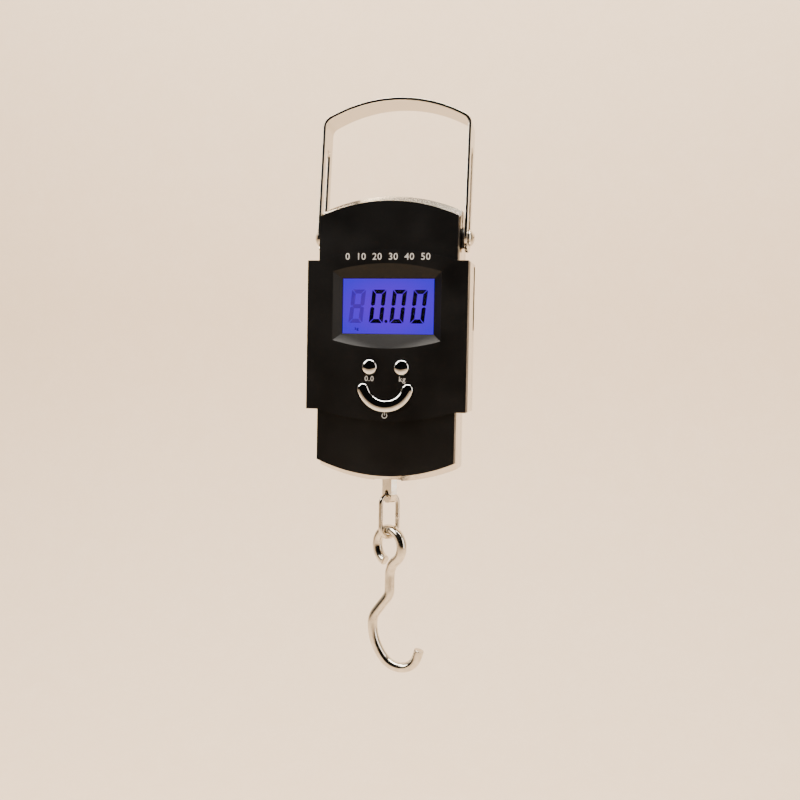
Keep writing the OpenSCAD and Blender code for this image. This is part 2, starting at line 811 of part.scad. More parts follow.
// One ring of a conical coil, t of the way from its wide foot to its top
function coil_ring(t, turns, d, sides) = let (
    a = 360 * turns * t,
    r = 3.8 - 1.6 * t,
    h = (spring_h - d) * t + d / 2
) [for (k = [0:sides - 1]) [
    (r + d / 2 * cos(360 * k / sides)) * cos(a),
    (r + d / 2 * cos(360 * k / sides)) * sin(a),
    h + d / 2 * sin(360 * k / sides)
]];

// A conical coil of fine wire
module spring(turns = 3, d = 0.6, sides = 8) {
    rings = 12 * turns;
    tube([for (i = [0:rings]) coil_ring(i / rings, turns, d, sides)], sides);
}

// One spring under the left cell, one over the right cell's flat end
module battery_springs() {
    color("gold") placed() for (s = [-1, 1])
        translate([s * cell_x, cell_y, cell_bottom - spring_h - 0.05]) spring();
}

// Plates behind the springs and at the cells' upper ends
module battery_contacts() {
    t = 0.4;
    color("goldenrod") placed() {
        block([-cell_x - 4.5, hang_y + rod_d / 2 + 0.3, cell_top + 0.1],
              [cell_x + 4.5, cell_y + 4, cell_top + 0.1 + t]);
        for (s = [-1, 1])
            block([s * cell_x - 4.2, cell_y - 4, cell_bottom - spring_h - 0.1 - t],
                  [s * cell_x + 4.2, cell_y + 4, cell_bottom - spring_h - 0.1]);
    }
}

// ---------------------------------------------------------------- leads

// Flat screened lead from the right gauge down to the board
module load_cell_lead() {
    start = [beam_w / 2 + 1.6, beam_y + 2.5, beam_top - beam_len / 2 - 4];
    color("white") placed() translate(start) rotate([180, 0, 0])
        wire(1.2, [[4], [2.5, 90, 90], [start[1] - board_y - board_t - 2.5 - 0.1]]);
}

// Red and black leads from the lower contacts up to the board
module battery_leads() {
    rise = board_bottom - (cell_bottom - spring_h) + 5;
    lead_y = board_y + board_t + 0.9;
    color("firebrick") placed() for (s = [-1, 1])
        translate([s * (cell_x + cell_d / 2 + 1.2), lead_y, cell_bottom - spring_h - 0.2]) cylinder(d = 1.1, h = rise);
}

handle();
left_slide_bush();
right_slide_bush();
left_pivot_screw();
right_pivot_screw();
front_cover();
rear_shell();
battery_door();
case_screws();
cross_bracket();
load_cell();
strain_gauges();
load_cell_screws();
rod_yoke();
eye_rod();
link();
hook();
lcd_window();
lcd_panel();
lcd_backlight();
zebra_strip();
main_board();
board_screws();
controller_chip();
tact_switches();
zero_button();
unit_button();
power_button();
left_battery();
right_battery();
battery_springs();
battery_contacts();
load_cell_lead();
battery_leads();
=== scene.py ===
"""Looks of a hanging digital fish scale: a black case with a plated back, a sliding steel bail, a link and a hook."""

import math
import random

import bmesh
import bpy
from mathutils import Matrix, Vector


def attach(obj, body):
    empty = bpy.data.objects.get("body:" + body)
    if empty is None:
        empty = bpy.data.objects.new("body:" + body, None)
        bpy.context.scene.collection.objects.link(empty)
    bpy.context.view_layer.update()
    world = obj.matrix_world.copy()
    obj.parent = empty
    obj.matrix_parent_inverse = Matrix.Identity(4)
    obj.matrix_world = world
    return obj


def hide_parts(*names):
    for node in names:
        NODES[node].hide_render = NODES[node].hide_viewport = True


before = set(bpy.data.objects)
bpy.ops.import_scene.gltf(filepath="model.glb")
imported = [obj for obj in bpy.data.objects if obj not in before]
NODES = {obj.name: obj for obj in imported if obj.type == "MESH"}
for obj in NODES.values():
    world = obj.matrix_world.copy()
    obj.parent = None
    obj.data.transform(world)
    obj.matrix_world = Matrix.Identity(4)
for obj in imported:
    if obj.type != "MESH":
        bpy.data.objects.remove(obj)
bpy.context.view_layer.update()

# ---- places, in millimetres about the middle of the case: X right, Y back, Z up ----
MM = 0.001
PIVOT = Vector((0, 1.0, 40.5))
LEAN = math.radians(8)
GRIP_HEIGHT = 56.9
GRIP = PIVOT + GRIP_HEIGHT * Vector((0, math.sin(LEAN), math.cos(LEAN)))
BAND_FACE = -12.0
PANEL_FACE = -7.4
PRINT_FACE = BAND_FACE - 0.004
WINDOW_SIZE, WINDOW_Z = (37.9, 22.3), 12.0


def at(x, y, z):
    """A place on the case, in millimetres, as a point of the shared frame in metres."""
    return (Vector((x, y, z)) - GRIP) * MM


def polar(centre, radius, angle):
    """The point at that angle, in radians, on a circle about the centre."""
    return centre[0] + radius * math.cos(angle), centre[1] + radius * math.sin(angle)


def placed_in_scene(name, data):
    """A new object that holds the data."""
    made = bpy.data.objects.new(name, data)
    bpy.context.scene.collection.objects.link(made)
    return made


# ---- camera ----
YAW, PITCH, ROLL = (math.radians(a) for a in (-11.2, 2.57, 1.04))
AIM = Vector((-3.4, 415.1, 26.4))
LENS, SENSOR, NEAR, FAR = 45.0, 36.0, 0.01, 20.0
turn = Matrix.Rotation(ROLL, 3, "Y") @ Matrix.Rotation(PITCH, 3, "X") @ Matrix.Rotation(YAW, 3, "Z")
right, forward, up = (turn.row[i] for i in range(3))
camera = placed_in_scene("camera", bpy.data.cameras.new("camera"))
facing = Matrix((right, up, -forward)).transposed().to_4x4()
camera.matrix_world = Matrix.Translation(at(*(-(turn.transposed() @ AIM)))) @ facing
camera.data.lens, camera.data.sensor_width = LENS, SENSOR
camera.data.clip_start, camera.data.clip_end = NEAR, FAR
bpy.context.scene.camera = camera


# ---- materials ----
def rgb(code):
    """An sRGB hex colour as the linear colour that shaders use."""
    parts = [int(code[i : i + 2], 16) / 255 for i in (0, 2, 4)]
    return tuple(p / 12.92 if p <= 0.04045 else ((p + 0.055) / 1.055) ** 2.4 for p in parts) + (1.0,)


def add(tree, kind, inputs=(), **settings):
    """Adds a node: settings are its properties, and inputs its sockets' values or the sockets that feed them."""
    made = tree.nodes.new(kind)
    for name, value in settings.items():
        setattr(made, name, value)
    for key, value in dict(inputs).items():
        if isinstance(value, bpy.types.NodeSocket):
            tree.links.new(value, made.inputs[key])
        else:
            made.inputs[key].default_value = value
    return made


def per_mm(size):
    """The noise scale, on coordinates in metres, whose features are that many millimetres apart."""
    return 1000.0 / size


def surface(name, shader):
    """A new material with a Principled shader, its tree, and the object coordinates that its patterns follow."""
    made = bpy.data.materials.new(name)
    made.use_nodes = True
    tree = made.node_tree
    tree.nodes.clear()
    bsdf = add(tree, "ShaderNodeBsdfPrincipled", shader)
    add(tree, "ShaderNodeOutputMaterial", {"Surface": bsdf.outputs[0]})
    where = add(tree, "ShaderNodeTexCoord").outputs["Object"]
    return made, tree, bsdf, where


def ranged(tree, value, low, high, to_low=0.0, to_high=1.0):
    """The value, mapped from low..high to to_low..to_high."""
    settings = {"Value": value, "From Min": low, "From Max": high, "To Min": to_low, "To Max": to_high}
    return add(tree, "ShaderNodeMapRange", settings).outputs[0]


def blend(tree, share, first, second):
    """The colour that far between two hex colours."""
    inputs = {0: share, 6: rgb(first), 7: rgb(second)}
    return add(tree, "ShaderNodeMix", inputs, data_type="RGBA").outputs[2]


def noise(tree, where, size, detail, **inputs):
    """Noise whose features are that many millimetres apart."""
    inputs.update({"Vector": where, "Scale": per_mm(size), "Detail": detail})
    return add(tree, "ShaderNodeTexNoise", inputs).outputs[0]


def finish(tree, bsdf, colour, roughness, height, strength, depth):
    """Joins the colour, the roughness and a relief of that many millimetres to the shader."""
    bump = add(tree, "ShaderNodeBump", {"Height": height, "Strength": strength, "Distance": depth * MM})
    tree.links.new(colour, bsdf.inputs["Base Color"])
    tree.links.new(roughness, bsdf.inputs["Roughness"])
    tree.links.new(bump.outputs[0], bsdf.inputs["Normal"])


PATCH = 18.0  # how far apart, in millimetres, the handled patches of a plastic lie


def moulded(name, dark, light, roughness, grain, depth, ior=1.5, coat=0.0, gloss=0.5):
    """A moulded or painted plastic: a fine even grain, and slow patches where handling has made it shine."""
    made, tree, bsdf, where = surface(name, {"IOR": ior, "Coat Weight": coat, "Specular IOR Level": gloss})
    fine = noise(tree, where, grain, 3.0, Roughness=0.6)
    slow = noise(tree, where, PATCH, 2.0)
    both = add(tree, "ShaderNodeMath", {0: fine, 1: slow}, operation="MULTIPLY").outputs[0]
    colour = blend(tree, ranged(tree, both, 0.12, 0.42), dark, light)
    shine = ranged(tree, slow, 0.3, 0.7, roughness - 0.05, roughness + 0.06)
    finish(tree, bsdf, colour, shine, fine, 0.6, depth)
    return made


def metal(name, low, high, roughness, wave, depth, stretch=(1, 1, 1), marks=0.0, mark_size=0.8):
    """A metal surface: slow waves left by forming or plating, and small dull marks where it is worn."""
    made, tree, bsdf, where = surface(name, {"Metallic": 1.0})
    laid = add(tree, "ShaderNodeMapping", {"Vector": where, "Scale": stretch}).outputs[0]
    waves = noise(tree, laid, wave, 2.0, Roughness=0.45)
    specks = noise(tree, where, mark_size, 4.0, Roughness=0.7)
    worn = ranged(tree, specks, 0.56, 0.72, 0.0, marks)
    colour = blend(tree, ranged(tree, waves, 0.3, 0.7), low, high)
    dull = add(tree, "ShaderNodeMath", {0: worn, 1: roughness}, operation="ADD").outputs[0]
    finish(tree, bsdf, colour, dull, waves, 0.5, depth)
    return made


def glowing(name, middle, edge, strength):
    """The lit face of the display: an even blue light that is a little deeper at the edges of the window."""
    made, tree, bsdf, where = surface(name, {"Base Color": rgb("07060f"), "Roughness": 0.35})
    centre = at(0, PANEL_FACE, WINDOW_Z)
    per_half = (2 / (WINDOW_SIZE[0] * MM), 0.0, 2 / (WINDOW_SIZE[1] * MM))
    laid = add(tree, "ShaderNodeMapping", {"Vector": where, "Location": -centre}, vector_type="POINT")
    shaped = add(tree, "ShaderNodeVectorMath", {0: laid.outputs[0], 1: per_half}, operation="MULTIPLY")
    reach = add(tree, "ShaderNodeVectorMath", {0: shaped.outputs[0]}, operation="LENGTH")
    fade = ranged(tree, reach.outputs["Value"], 0.45, 1.25)
    tree.links.new(blend(tree, fade, middle, edge), bsdf.inputs["Emission Color"])
    bsdf.inputs["Emission Strength"].default_value = strength
    return made


# Black ABS, spark-eroded mould: a matt, fine-grained skin that breaks its highlights into soft specks.
black_abs = moulded("black_abs_spark_textured", "020203", "090a0c", 0.4, 0.5, 0.05, ior=1.53, gloss=0.18)
# Nickel-plated ABS: a mirror over a moulding that is never quite flat, so reflections wander slowly.
plated_abs = metal("nickel_plated_abs", "cbc5bb", "d5cfc5", 0.13, 14.0, 0.05, marks=0.12)
# Chrome-plated ABS keys: harder and whiter, with a tight mirror.
chrome_abs = metal("chrome_plated_abs", "c9cbcd", "dcdedf", 0.05, 4.0, 0.02, marks=0.05)
# Stainless strip, rolled and polished: fine lines run along it and its faces shine.
polished_steel = metal(
    "polished_stainless_strip", "c4beb3", "d6d0c6", 0.15, 0.5, 0.006, stretch=(1, 4, 0.12), marks=0.15, mark_size=1.4
)
# Drawn steel wire, bent and nickel-plated: bright, with shallow ripples from drawing and bending.
nickel_wire = metal("nickel_plated_wire", "c6bfb2", "d9d3c7", 0.13, 2.2, 0.05, marks=0.2, mark_size=0.6)
zinc_steel = metal("zinc_plated_steel", "a9adb0", "c3c6c8", 0.3, 1.5, 0.03, marks=0.2)
beam_aluminium = metal(
    "milled_aluminium", "b4b7ba", "c9cbcd", 0.32, 0.5, 0.02, stretch=(1, 1, 0.15), marks=0.1
)
spring_wire = metal("nickel_plated_spring_steel", "a8a49b", "c9c5bb", 0.22, 1.0, 0.02, marks=0.1)
black_nylon = moulded("black_acetal", "0c0c0d", "191a1b", 0.36, 0.6, 0.02, ior=1.48)
gauge_resin = moulded("amber_polyimide_film", "8a4a12", "b5702a", 0.35, 0.8, 0.01, ior=1.7)
light_guide = moulded("white_acrylic_light_guide", "d9dbe2", "f2f3f6", 0.3, 1.2, 0.01, ior=1.49)
black_rubber = moulded("black_silicone_rubber", "101010", "1c1c1c", 0.62, 0.5, 0.03, ior=1.41)
board_green = moulded(
    "green_solder_mask_on_glass_epoxy", "0d3b22", "15532f", 0.3, 1.1, 0.015, ior=1.55, coat=0.3
)
chip_resin = moulded("black_moulding_epoxy", "121214", "1e1e20", 0.5, 0.35, 0.015, ior=1.57)
battery_sleeve = moulded(
    "silver_grey_shrink_sleeve", "5b6065", "83898e", 0.28, 3.0, 0.01, ior=1.52, coat=0.4
)
lead_white = moulded("white_pvc_insulation", "c9c7c1", "e2e0da", 0.45, 0.7, 0.01, ior=1.52)
lead_red = moulded("red_pvc_insulation", "8a1512", "b0201b", 0.45, 0.7, 0.01, ior=1.52)
# Pad-printed ink: flat light grey, thin at its edges.
print_ink = moulded("grey_white_pad_print_ink", "a9abad", "cfd0d1", 0.5, 0.3, 0.005, ior=1.5)
segment_ink = moulded("dark_liquid_crystal", "03031c", "07072a", 0.25, 2.0, 0.001, ior=1.5)
ghost_ink = glowing("idle_liquid_crystal", "5c12d8", "4a08d0", 0.75)
display_light = glowing("blue_violet_backlit_glass", "6c00ff", "4c00ff", 0.95)
# Clear cast acrylic: nearly no colour, a polished face.
acrylic, tree, bsdf, where = surface(
    "clear_cast_acrylic",
    {"Base Color": rgb("f4f5ff"), "Transmission Weight": 1.0, "IOR": 1.49, "Specular IOR Level": 0.25},
)
polish = ranged(tree, noise(tree, where, 3.0, 4.0), 0.0, 1.0, 0.01, 0.05)
tree.links.new(polish, bsdf.inputs["Roughness"])

# ---- making pieces ----
CAD_SEAM, MADE_SEAM = 0.002 * MM, 0.0005 * MM
FLAT_WITHIN = math.radians(0.6)
# The least angle, in degrees, of a hard edge: on rounded CAD copies, on made shapes, and on lumpy or rolled ones.
CAD_CREASE, MADE_CREASE, SOFT_CREASE = 80, 50, 60
ROUNDING_STEPS, ROUNDED_EDGE = 3, 30


def show(name, mesh, material, body, slot, *nodes):
    """A finished piece: its mesh, material and body, a slot that is not used, and the CAD nodes it stands for."""
    obj = placed_in_scene(name, mesh)
    mesh.materials.clear()
    mesh.materials.append(material)
    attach(obj, body)
    if nodes:
        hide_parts(*nodes)


def smooth(mesh, angle):
    """Smooth shading, except over edges sharper than that many degrees."""
    mesh.polygons.foreach_set("use_smooth", [True] * len(mesh.polygons))
    mesh.set_sharp_from_angle(angle=math.radians(angle))


def applied(obj):
    """The mesh of an object with its modifiers applied; the object itself is removed."""
    depsgraph = bpy.context.evaluated_depsgraph_get()
    mesh = bpy.data.meshes.new_from_object(obj.evaluated_get(depsgraph), depsgraph=depsgraph)
    bpy.data.objects.remove(obj)
    return mesh


def softened(node, edge, angle=ROUNDED_EDGE):
    """A copy of a CAD node whose hard edges are rounded by that many millimetres."""
    made = bmesh.new()
    made.from_mesh(NODES[node].data)
    bmesh.ops.remove_doubles(made, verts=made.verts, dist=CAD_SEAM)
    bmesh.ops.dissolve_limit(
        made, angle_limit=FLAT_WITHIN, verts=made.verts, edges=made.edges, delimit={"NORMAL"}
    )
    mesh = bpy.data.meshes.new(node)
    made.to_mesh(mesh)
    made.free()
    smooth(mesh, CAD_CREASE)
    obj = placed_in_scene("softening", mesh)
    bevel = obj.modifiers.new("edges", "BEVEL")
    bevel.width, bevel.segments = edge * MM, ROUNDING_STEPS
    bevel.limit_method, bevel.angle_limit = "ANGLE", math.radians(angle)
    bevel.harden_normals, bevel.use_clamp_overlap = True, True
    flatten = obj.modifiers.new("flat faces stay flat", "WEIGHTED_NORMAL")
    flatten.weight, flatten.keep_sharp = 100, True
    return applied(obj)


def from_faces(name, points, faces):
    """A mesh of points in metres whose faces all look outwards."""
    mesh = bpy.data.meshes.new(name)
    made = bmesh.new()
    corners = [made.verts.new(p) for p in points]
    for face in faces:
        made.faces.new([corners[i] for i in face])
    bmesh.ops.remove_doubles(made, verts=made.verts, dist=MADE_SEAM)
    bmesh.ops.recalc_face_normals(made, faces=made.faces)
    made.to_mesh(mesh)
    made.free()
    return mesh


# ---- the plated housing, the cover and the bail ----
SOFTENED = [
    # node, rounding in mm, material, body, slot, and the least angle of an edge where it isn't 30 degrees
    ("front_cover", 0.45, black_abs, "casing", "black_abs", 16),
    ("rear_shell", 0.35, plated_abs, "casing", "plated_abs"),
    ("battery_door", 0.25, plated_abs, "battery_door", "plated_abs"),
    ("handle", 0.22, polished_steel, "bail", "polished_steel"),
    ("left_slide_bush", 0.2, black_nylon, "sliders", "black_nylon"),
    ("right_slide_bush", 0.2, black_nylon, "sliders", "black_nylon"),
    ("left_pivot_screw", 0.12, nickel_wire, "sliders", "nickel_wire"),
    ("right_pivot_screw", 0.12, nickel_wire, "sliders", "nickel_wire"),
    ("case_screws", 0.1, zinc_steel, "casing", "zinc_steel"),
    ("eye_rod", 0.3, nickel_wire, "casing", "nickel_wire"),
    ("lcd_window", 0.15, acrylic, "casing", "clear_acrylic"),
]
for node, edge, material, body, slot, *angle in SOFTENED:
    show(node + "_finished", softened(node, edge, *angle), material, body, slot, node)


# ---- keys: rounded, plated shapes ----
# The crown is fuller than a circle's, with a flatter middle and a quick turn at its edge.
CROWN, CROWN_RINGS = 0.78, 9
KEY_BACK, KEY_RISE, KEY_SKIRT = -10.2, 0.9, 0.15
ARC_STEPS, END_STEPS, ROUND_STEPS = 28, 14, 40
EYE_KEY_X, EYE_KEY_Z, EYE_KEY_WIDTH = 6.6, -12.7, 6.2
SMILE_Z, SMILE_RADIUS, SMILE_SPAN, SMILE_WIDTH = -19.0, 9.6, 148, 4.8


def key_outline(size, mid_radius, span):
    """The edge of a key, that far out from its middle point or from the arc that its middle line follows."""
    if not mid_radius:
        return [polar((0, 0), size, math.tau * i / ROUND_STEPS) for i in range(ROUND_STEPS)]
    start, end = math.radians(270 - span / 2), math.radians(270 + span / 2)
    along = [start + (end - start) * i / ARC_STEPS for i in range(ARC_STEPS + 1)]
    about = [math.pi * i / END_STEPS for i in range(1, END_STEPS)]
    run = [polar((0, 0), mid_radius + size, a) for a in along]
    run += [polar(polar((0, 0), mid_radius, end), size, end + a) for a in about]
    run += [polar((0, 0), mid_radius - size, a) for a in reversed(along)]
    run += [polar(polar((0, 0), mid_radius, start), size, start + math.pi + a) for a in about]
    return run


def key_mesh(name, centre, mid_radius, span, width):
    """A key whose outline follows an arc, or is round where mid_radius is 0, with a crown that rises from its edge.

    The rings run from the outline to the middle line, so the crown is one smooth skin."""
    half, foot = width / 2, BAND_FACE + KEY_SKIRT
    levels = [(half, KEY_BACK), (half, foot)]
    for i in range(1, CROWN_RINGS + 1):
        t = i / CROWN_RINGS
        across, rise = math.cos(t * math.pi / 2) ** CROWN, math.sin(t * math.pi / 2) ** CROWN
        levels.append((half * across, foot - (KEY_RISE + KEY_SKIRT) * rise))
    points, faces = [], []
    for size, depth in levels:
        outline = key_outline(size, mid_radius, span)
        points += [at(centre[0] + x, depth, centre[1] + z) for x, z in outline]
    count = len(points) // len(levels)
    for level in range(len(levels) - 1):
        for i in range(count):
            j = (i + 1) % count
            a, b = level * count, (level + 1) * count
            faces.append((a + i, a + j, b + j, b + i))
    faces.append(tuple(range(count)))
    mesh = from_faces(name, points, faces)
    smooth(mesh, MADE_CREASE)
    return mesh


KEYS = [
    # node, middle, radius and span of its arc, width
    ("zero_button", (-EYE_KEY_X, EYE_KEY_Z), 0.0, 0.0, EYE_KEY_WIDTH),
    ("unit_button", (EYE_KEY_X, EYE_KEY_Z), 0.0, 0.0, EYE_KEY_WIDTH),
    ("power_button", (0, SMILE_Z), SMILE_RADIUS, SMILE_SPAN, SMILE_WIDTH),
]
for node, *shape in KEYS:
    show(node + "_finished", key_mesh(node, *shape), chrome_abs, node, "plated_button", node)


# ---- display and print ----
def flat_shape(name, outlines, depth, thickness=0.03):
    """Flat inked shapes facing the front: each outline is a list of (x, z) in millimetres."""
    points, faces = [], []
    for outline in outlines:
        first, n = len(points), len(outline)
        points += [at(x, depth, z) for x, z in outline] + [at(x, depth + thickness, z) for x, z in outline]
        faces.append(tuple(first + i for i in range(n)))
        faces.append(tuple(first + n + i for i in reversed(range(n))))
        faces += [(first + i, first + n + i, first + n + (i + 1) % n, first + (i + 1) % n) for i in range(n)]
    return from_faces(name, points, faces)


DIGIT_WIDTH, DIGIT_HEIGHT, DIGIT_PITCH, STROKE, SEGMENT_GAP = 5.8, 13.6, 8.55, 1.65, 0.16
DIGIT_MARGIN, DOT_RADIUS, DOT_BEFORE, DOT_ABOVE = 4.2, 0.65, 1.35, 0.7
INK_FACE, GHOST_FACE = PANEL_FACE - 0.06, PANEL_FACE - 0.05
SLANT = math.tan(math.radians(6))
# Which of the seven segments are lit: top, upper left, upper right, middle, lower left, lower right, bottom.
ZERO, EIGHT = (1, 1, 1, 0, 1, 1, 1), (1, 1, 1, 1, 1, 1, 1)


def segments(x, lit):
    """Outlines of a slanted seven-segment digit whose lower left corner is at x."""
    w, h, s, gap = DIGIT_WIDTH, DIGIT_HEIGHT, STROKE, SEGMENT_GAP
    base = WINDOW_Z - h / 2

    def bar(z, side):
        return [(gap + s * 0.15, z), (w - gap - s * 0.15, z), (w - s - gap, z - side * s), (s + gap, z - side * s)]

    def post(edge, side, tip, waist):
        """An upright from the digit's top or bottom (tip) to its middle (waist), blunt at the middle."""
        way = math.copysign(1, waist - tip)
        inner, near, far = edge + side * s, tip + way * gap, waist - way * gap
        blunt = far - way * s * 0.3
        return [(edge, near), (inner, near + way * s), (inner, blunt), (edge + side * s * 0.4, far), (edge, blunt)]

    low, mid, high = h / 2 - s / 2, h / 2, h / 2 + s / 2
    middle = [(s * 0.6, mid), (s, high), (w - s, high), (w - s * 0.6, mid), (w - s, low), (s, low)]
    shapes = [
        bar(h, 1),
        post(0, 1, h, mid),
        post(w, -1, h, mid),
        middle,
        post(0, 1, 0, mid),
        post(w, -1, 0, mid),
        bar(0, -1),
    ]
    return [[(x + px + SLANT * pz, base + pz) for px, pz in shape] for shape, on in zip(shapes, lit) if on]


last = WINDOW_SIZE[0] / 2 - DIGIT_MARGIN - DIGIT_WIDTH
digits = [shape for i in range(3) for shape in segments(last - i * DIGIT_PITCH, ZERO)]
dot = (last - DIGIT_PITCH - DOT_BEFORE, WINDOW_Z - DIGIT_HEIGHT / 2 + DOT_ABOVE)
digits.append([polar(dot, DOT_RADIUS, a * math.pi / 8) for a in range(16)])
ghost = segments(last - 3 * DIGIT_PITCH, EIGHT)
show("display_digits", flat_shape("display_digits", digits, INK_FACE), segment_ink, "casing", "display_glass")
show("display_idle_digit", flat_shape("display_idle_digit", ghost, GHOST_FACE), ghost_ink, "casing", "display_glass")


# How much of a font's size its capitals fill, half the ink's thickness, how far it spreads, and the letters' spacing.
CAPITAL_SHARE, INK_HALF, INK_SPREAD, LETTER_SPACING = 0.7, 0.012, 0.02, 1.08


def lettering(name, text, height, x, z, depth=PRINT_FACE, material=print_ink, slot="black_abs"):
    """Printed numerals or a unit, centred at x, z, that many millimetres high, as a thin flat mesh."""
    curve = bpy.data.curves.new(name, "FONT")
    curve.body, curve.align_x, curve.align_y = text, "CENTER", "CENTER"
    curve.size, curve.extrude, curve.resolution_u = height / CAPITAL_SHARE * MM, INK_HALF * MM, 3
    curve.offset, curve.space_character = INK_SPREAD * MM, LETTER_SPACING
    mesh = applied(placed_in_scene(name, curve))
    mesh.transform(Matrix.Translation(at(x, depth, z)) @ Matrix.Rotation(math.pi / 2, 4, "X"))
    show(name, mesh, material, "casing", slot)


RANGE_X, RANGE_Z, RANGE_HEIGHT = 0.2, 31.7, 2.7
CAPTION_Z, CAPTION_HEIGHT, UNIT_X = -17.5, 2.1, 7.0
SMALL_UNIT_X, SMALL_UNIT_Z, SMALL_UNIT_HEIGHT = -13.2, WINDOW_Z - 9.2, 1.2
lettering("print_range", "0  10  20  30  40  50", RANGE_HEIGHT, RANGE_X, RANGE_Z)
lettering("print_zero", "0.0", CAPTION_HEIGHT, -EYE_KEY_X, CAPTION_Z)
lettering("print_unit", "kg", CAPTION_HEIGHT, UNIT_X, CAPTION_Z)
lettering(
    "display_unit", "kg", SMALL_UNIT_HEIGHT, SMALL_UNIT_X, SMALL_UNIT_Z, GHOST_FACE, segment_ink, "display_glass"
)

# The power mark: an open ring and a bar.
POWER_Z, POWER_R, POWER_STROKE = -32.3, 1.15, 0.3
BAR_LOW, BAR_HIGH = 0.1, 1.35
turns = [math.radians(a) for a in range(125, 416, 15)]
ring, inner = ([polar((0, POWER_Z), radius, a) for a in turns] for radius in (POWER_R, POWER_R - POWER_STROKE))
mark = [[ring[i], ring[i + 1], inner[i + 1], inner[i]] for i in range(len(ring) - 1)]
half = POWER_STROKE / 2
mark.append([(x, POWER_Z + z) for x, z in ((-half, BAR_LOW), (half, BAR_LOW), (half, BAR_HIGH), (-half, BAR_HIGH))])
show("print_power", flat_shape("print_power", mark, BAND_FACE - 0.02, 0.016), print_ink, "casing", "black_abs")


# ---- bent wire: the hook and the link ----
RIPPLE_LENGTH = 5.0


def wire_tree(sides, material):
    """Geometry Nodes that give a path its round wire: the path is laid out evenly, then a circle runs along it."""
    tree = bpy.data.node_groups.new("drawn_wire", "GeometryNodeTree")
    tree.interface.new_socket("Geometry", in_out="INPUT", socket_type="NodeSocketGeometry")
    radius = tree.interface.new_socket("Wire radius", in_out="INPUT", socket_type="NodeSocketFloat")
    step = tree.interface.new_socket("Step along the path", in_out="INPUT", socket_type="NodeSocketFloat")
    ripple = tree.interface.new_socket("Ripple", in_out="INPUT", socket_type="NodeSocketFloat")
    tree.interface.new_socket("Geometry", in_out="OUTPUT", socket_type="NodeSocketGeometry")
    given = add(tree, "NodeGroupInput")
    path = add(tree, "GeometryNodeMeshToCurve", {"Mesh": given.outputs["Geometry"]})
    even = add(
        tree,
        "GeometryNodeResampleCurve",
        {"Curve": path.outputs["Curve"], "Length": given.outputs["Step along the path"]},
        mode="LENGTH",
    )
    # The wire swells and thins a little along its length.
    waves = add(tree, "ShaderNodeTexNoise", {"Scale": per_mm(RIPPLE_LENGTH), "Detail": 1.0}).outputs[0]
    less = add(tree, "ShaderNodeMath", {0: 0.0, 1: given.outputs["Ripple"]}, operation="SUBTRACT").outputs[0]
    swing = ranged(tree, waves, 0.3, 0.7, less, 0.0)
    scaled = add(tree, "ShaderNodeMath", {0: swing, 1: 1.0}, operation="ADD").outputs[0]
    circle = add(
        tree,
        "GeometryNodeCurvePrimitiveCircle",
        {"Resolution": sides, "Radius": given.outputs["Wire radius"]},
    )
    body = add(
        tree,
        "GeometryNodeCurveToMesh",
        {
            "Curve": even.outputs["Curve"],
            "Profile Curve": circle.outputs["Curve"],
            "Scale": scaled,
            "Fill Caps": True,
        },
    )
    real = add(tree, "GeometryNodeRealizeInstances", {"Geometry": body.outputs["Mesh"]})
    dressed = add(tree, "GeometryNodeSetMaterial", {"Geometry": real.outputs["Geometry"], "Material": material})
    add(tree, "NodeGroupOutput", {"Geometry": dressed.outputs["Geometry"]})
    return tree, radius.identifier, step.identifier, ripple.identifier


def wire_mesh(name, path, thickness, material, step, sides, ripple, closed=False, chamfer=0.0):
    """Wire of that thickness, in millimetres, along a path of frame points."""
    count = len(path)
    edges = [(i, (i + 1) % count) for i in range(count if closed else count - 1)]
    line = bpy.data.meshes.new(name)
    line.from_pydata(path, edges, [])
    obj = placed_in_scene(name, line)
    tree, radius_id, step_id, ripple_id = wire_tree(sides, material)
    nodes = obj.modifiers.new("wire", "NODES")
    nodes.node_group = tree
    nodes[radius_id], nodes[step_id], nodes[ripple_id] = thickness / 2 * MM, step * MM, ripple
    if chamfer:
        ends = obj.modifiers.new("ends", "BEVEL")
        ends.width, ends.segments, ends.limit_method = chamfer * MM, 2, "ANGLE"
        ends.angle_limit = math.radians(MADE_CREASE)
    mesh = applied(obj)
    made = bmesh.new()
    made.from_mesh(mesh)
    bmesh.ops.remove_doubles(made, verts=made.verts, dist=MADE_SEAM)
    bmesh.ops.recalc_face_normals(made, faces=made.faces)
    made.to_mesh(mesh)
    made.free()
    smooth(mesh, MADE_CREASE)
    return mesh


PATH_STEP, TURN_STEP = 0.8, 5  # millimetres along a straight, degrees around a bend


def bent_path(start, heading, bends):
    """Points along straights and arcs: each bend is (length,) or (radius, degrees), headed in degrees from up."""
    x, z = start
    a = math.radians(heading)
    run = [(x, z)]
    for bend in bends:
        if len(bend) == 1:
            steps, part = max(2, round(bend[0] / PATH_STEP)), 0.0
            chord = bend[0] / steps
        else:
            radius, sweep = bend
            steps = max(3, round(abs(sweep) / TURN_STEP))
            part = math.radians(sweep) / steps
            chord = 2 * radius * math.sin(abs(part) / 2)
        for _ in range(steps):
            a += part / 2
            x, z = x + math.sin(a) * chord, z + math.cos(a) * chord
            a += part / 2
            run.append((x, z))
    return run


def on_plane(run, plane, offset=(0, 0)):
    """Flat points stood up: the plane is turned about the vertical, through the line that the hook hangs on."""
    a = math.radians(plane)
    return [at(x * math.cos(a) + offset[0], PIVOT.y + x * math.sin(a) + offset[1], z) for x, z in run]


